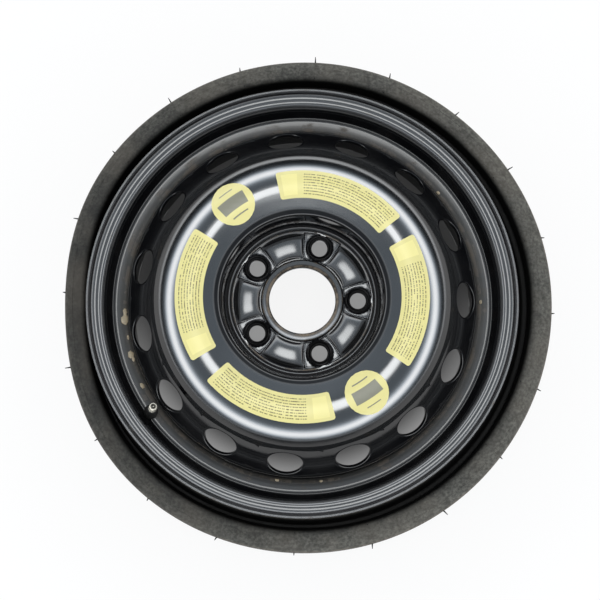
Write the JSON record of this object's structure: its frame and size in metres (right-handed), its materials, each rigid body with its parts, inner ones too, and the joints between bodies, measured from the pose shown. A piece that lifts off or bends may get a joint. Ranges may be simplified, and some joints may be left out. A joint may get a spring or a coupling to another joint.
{
  "type": "space saver spare wheel",
  "caption": "Temporary spare road wheel: black pressed steel disc and rim with a narrow folded tyre, oval vent holes, snap-in valve and plain yellow film labels, lying flat.",
  "frame": {"origin": "on the wheel's axis, in the plane of the hub mounting face", "axes": "+Z along the wheel's axis, out of the outer face; the wheel lies on its inner side with the outer face up; +X through a wheel bolt hole"},
  "size_m": [0.505, 0.505, 0.1547],
  "materials": {
    "black_paint": "gloss black dip paint on pressed steel, worn to brown at edges",
    "tyre_rubber": "matte black moulded rubber, dusty",
    "valve_rubber": "matte black moulded rubber",
    "brass": "turned brass, dull",
    "seal_plastic": "soft seal ring",
    "spring_steel": "bright spring wire",
    "yellow_film": "satin yellow film, slightly dirty"
  },
  "bodies": {
    "wheel": {"rim": "black_paint", "wheel_disc": "black_paint", "disc_welds": "black_paint", "tyre": "tyre_rubber", "valve_body": "valve_rubber", "valve_stem": "brass", "core_plug": "brass", "core_barrel": "brass", "core_gasket": "seal_plastic", "core_spring": "spring_steel", "label_arc_1": "yellow_film", "label_arc_2": "yellow_film", "label_arc_3": "yellow_film", "label_arc_4": "yellow_film", "label_round_1": "yellow_film", "label_round_2": "yellow_film"},
    "valve_pin": {"core_pin": "brass", "core_cup": "valve_rubber"}
  },
  "joints": [
    {"name": "valve_pin_press", "type": "slide", "parent": "wheel", "child": "valve_pin", "axis": [-0.182, -0.1322, -0.9744], "range_m": [0, 0.0016], "stiffness_N_per_m": 800, "springref_m": -0.004, "deforming": ["core_spring"]}
  ]
}
